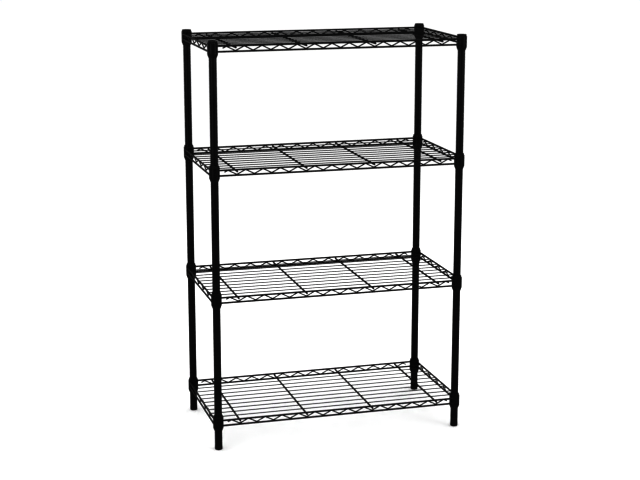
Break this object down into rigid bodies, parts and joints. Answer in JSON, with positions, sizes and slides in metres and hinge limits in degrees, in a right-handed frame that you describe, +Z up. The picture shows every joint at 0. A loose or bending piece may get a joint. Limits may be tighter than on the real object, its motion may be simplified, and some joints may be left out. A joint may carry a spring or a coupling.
{
  "type": "wire shelving rack",
  "caption": "Free-standing black wire shelving rack: round grooved posts on levelling feet carry height-adjustable welded wire shelves with truss edges.",
  "frame": {"origin": "on the floor, midway between the four feet", "axes": "+Z up, +X along the rack's long side, -Y is the front"},
  "size_m": [0.8932, 0.4612, 1.391],
  "materials": {
    "post_steel": "satin black powder coat",
    "wire_steel": "satin black powder coat",
    "collar_steel": "satin black powder coat",
    "sleeve_plastic": "moulded black",
    "cap_plastic": "moulded black",
    "foot_plastic": "moulded black",
    "insert_plastic": "moulded dark grey",
    "zinc_steel": "bright zinc plate"
  },
  "bodies": {
    "frame": {"post_lower_front_left": "post_steel", "post_upper_front_left": "post_steel", "cap_front_left": "cap_plastic", "post_lower_front_right": "post_steel", "post_upper_front_right": "post_steel", "cap_front_right": "cap_plastic", "post_lower_back_left": "post_steel", "post_upper_back_left": "post_steel", "cap_back_left": "cap_plastic", "post_lower_back_right": "post_steel", "post_upper_back_right": "post_steel", "cap_back_right": "cap_plastic", "post_joiner_inserts": "insert_plastic", "post_joiner_studs": "zinc_steel", "post_foot_inserts": "insert_plastic", "bottom_shelf_sleeves": "sleeve_plastic", "lower_shelf_sleeves": "sleeve_plastic", "upper_shelf_sleeves": "sleeve_plastic", "top_shelf_sleeves": "sleeve_plastic"},
    "bottom_shelf": {"bottom_shelf_collars": "collar_steel", "bottom_shelf_front_truss": "wire_steel", "bottom_shelf_back_truss": "wire_steel", "bottom_shelf_left_truss": "wire_steel", "bottom_shelf_right_truss": "wire_steel", "bottom_shelf_cross_rods": "wire_steel", "bottom_shelf_deck_wires": "wire_steel"},
    "lower_shelf": {"lower_shelf_collars": "collar_steel", "lower_shelf_front_truss": "wire_steel", "lower_shelf_back_truss": "wire_steel", "lower_shelf_left_truss": "wire_steel", "lower_shelf_right_truss": "wire_steel", "lower_shelf_cross_rods": "wire_steel", "lower_shelf_deck_wires": "wire_steel"},
    "upper_shelf": {"upper_shelf_collars": "collar_steel", "upper_shelf_front_truss": "wire_steel", "upper_shelf_back_truss": "wire_steel", "upper_shelf_left_truss": "wire_steel", "upper_shelf_right_truss": "wire_steel", "upper_shelf_cross_rods": "wire_steel", "upper_shelf_deck_wires": "wire_steel"},
    "top_shelf": {"top_shelf_collars": "collar_steel", "top_shelf_front_truss": "wire_steel", "top_shelf_back_truss": "wire_steel", "top_shelf_left_truss": "wire_steel", "top_shelf_right_truss": "wire_steel", "top_shelf_cross_rods": "wire_steel", "top_shelf_deck_wires": "wire_steel"},
    "foot_front_left": {"foot_pad_front_left": "foot_plastic", "foot_stud_front_left": "zinc_steel"},
    "foot_front_right": {"foot_pad_front_right": "foot_plastic", "foot_stud_front_right": "zinc_steel"},
    "foot_back_left": {"foot_pad_back_left": "foot_plastic", "foot_stud_back_left": "zinc_steel"},
    "foot_back_right": {"foot_pad_back_right": "foot_plastic", "foot_stud_back_right": "zinc_steel"}
  },
  "joints": [
    {"name": "bottom_shelf_lift", "type": "slide", "parent": "frame", "child": "bottom_shelf", "axis": [0, 0, 1], "range_m": [0, 0.3838]},
    {"name": "lower_shelf_lift", "type": "slide", "parent": "frame", "child": "lower_shelf", "axis": [0, 0, 1], "range_m": [0, 0.3838]},
    {"name": "upper_shelf_lift", "type": "slide", "parent": "frame", "child": "upper_shelf", "axis": [0, 0, 1], "range_m": [0, 0.3584]},
    {"name": "top_shelf_lift", "type": "slide", "parent": "frame", "child": "top_shelf", "axis": [0, 0, 1], "range_m": [0, 0.06]},
    {"name": "foot_front_left_screw", "type": "slide", "parent": "frame", "child": "foot_front_left", "axis": [0, 0, -1], "range_m": [0, 0.015]},
    {"name": "foot_front_right_screw", "type": "slide", "parent": "frame", "child": "foot_front_right", "axis": [0, 0, -1], "range_m": [0, 0.015]},
    {"name": "foot_back_left_screw", "type": "slide", "parent": "frame", "child": "foot_back_left", "axis": [0, 0, -1], "range_m": [0, 0.015]},
    {"name": "foot_back_right_screw", "type": "slide", "parent": "frame", "child": "foot_back_right", "axis": [0, 0, -1], "range_m": [0, 0.015]}
  ]
}
